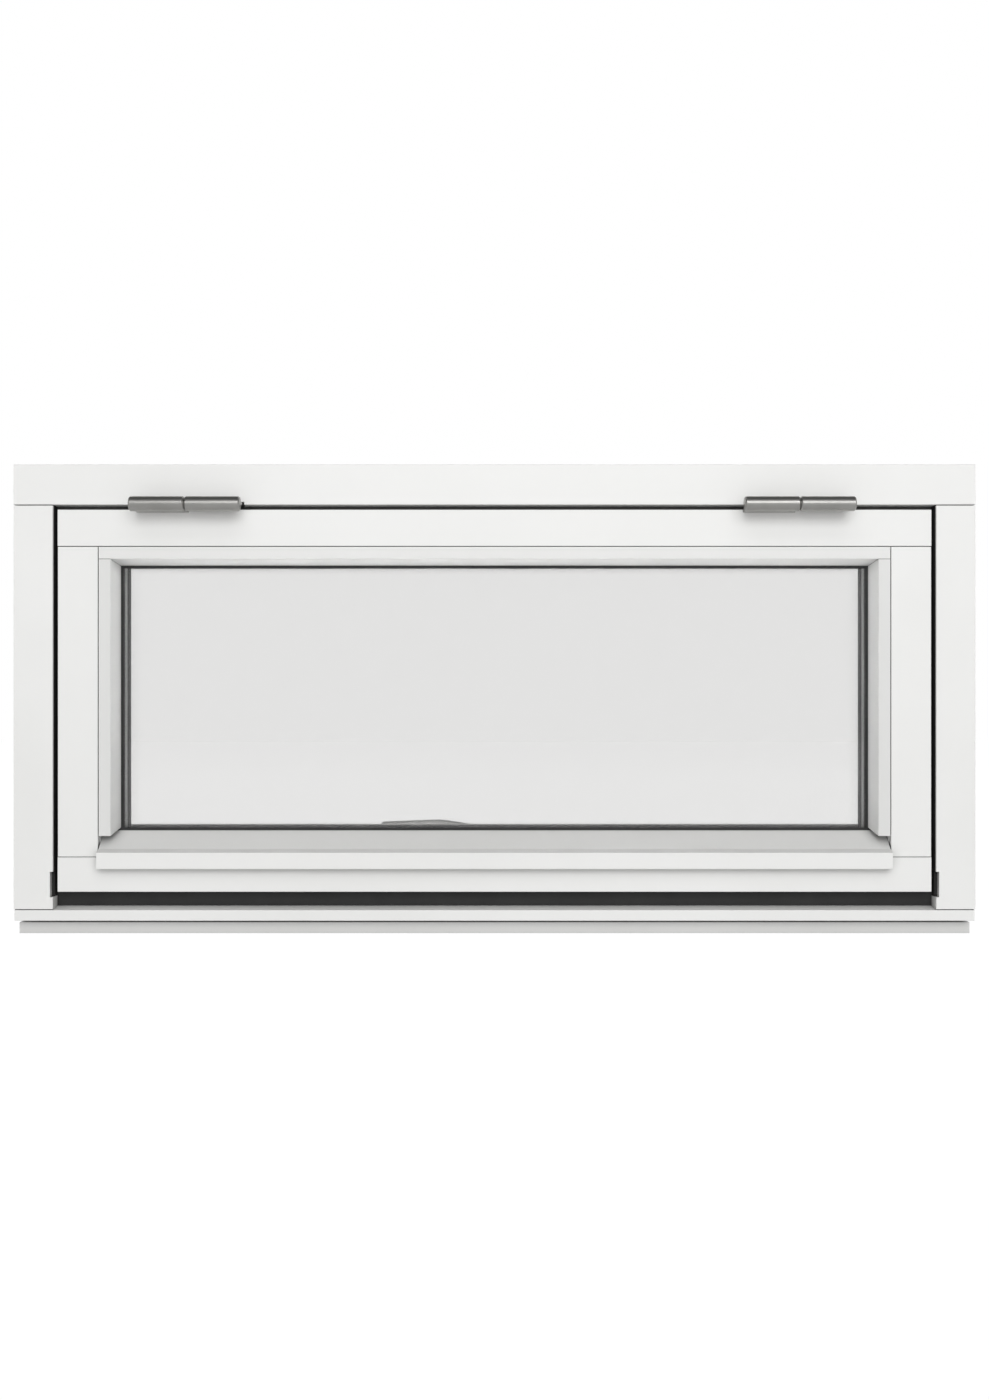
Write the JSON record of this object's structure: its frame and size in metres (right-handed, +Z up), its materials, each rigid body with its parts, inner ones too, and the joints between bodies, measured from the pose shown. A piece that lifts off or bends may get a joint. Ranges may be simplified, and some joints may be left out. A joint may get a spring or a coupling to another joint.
{
  "type": "top hung awning window",
  "caption": "White painted timber window with a triple glazed sash hung from its head on lift-off barrel hinges, swinging outward at the bottom, with a lever handle inside.",
  "frame": {"origin": "middle of the underside of the sill, at half the depth of the frame", "axes": "+X to the right seen from outside, +Y from outside into the room, +Z up"},
  "size_m": [0.98, 0.1495, 0.48],
  "materials": {
    "painted_timber": "white satin paint",
    "black_rubber": "matt black",
    "black_plastic": "matt black",
    "grey_rubber": "matt grey",
    "grey_plastic": "matt dark grey",
    "clear_glass": "clear",
    "hinge_steel": "satin",
    "handle_metal": "satin"
  },
  "bodies": {
    "frame": {"frame_head": "painted_timber", "left_jamb": "painted_timber", "right_jamb": "painted_timber", "frame_sill": "painted_timber", "head_seal": "black_rubber", "left_jamb_seal": "black_rubber", "right_jamb_seal": "black_rubber", "sill_seal": "black_rubber", "left_guide_block": "black_plastic", "right_guide_block": "black_plastic", "left_hinge_frame_leaf": "hinge_steel", "right_hinge_frame_leaf": "hinge_steel", "left_hinge_pin": "hinge_steel", "right_hinge_pin": "hinge_steel"},
    "sash": {"sash_top_rail": "painted_timber", "left_stile": "painted_timber", "right_stile": "painted_timber", "sash_bottom_rail": "painted_timber", "top_glazing_bead": "painted_timber", "left_glazing_bead": "painted_timber", "right_glazing_bead": "painted_timber", "weather_bar": "painted_timber", "outer_pane": "clear_glass", "middle_pane": "clear_glass", "inner_pane": "clear_glass", "outer_spacer": "grey_plastic", "inner_spacer": "black_plastic", "outer_gasket": "black_rubber", "inner_tape": "grey_rubber", "left_hinge_sash_leaf": "hinge_steel", "right_hinge_sash_leaf": "hinge_steel", "handle_rose": "handle_metal"},
    "handle": {"handle_lever": "handle_metal"}
  },
  "joints": [
    {"name": "sash_swing", "type": "hinge", "parent": "frame", "child": "sash", "pos_m": [0, -0.0745, 0.437], "axis": [-1, 0, 0], "range_deg": [0, 60]},
    {"name": "handle_turn", "type": "hinge", "parent": "sash", "child": "handle", "pos_m": [0, 0.0175, 0.09], "axis": [0, 1, 0], "range_deg": [0, 90]}
  ]
}
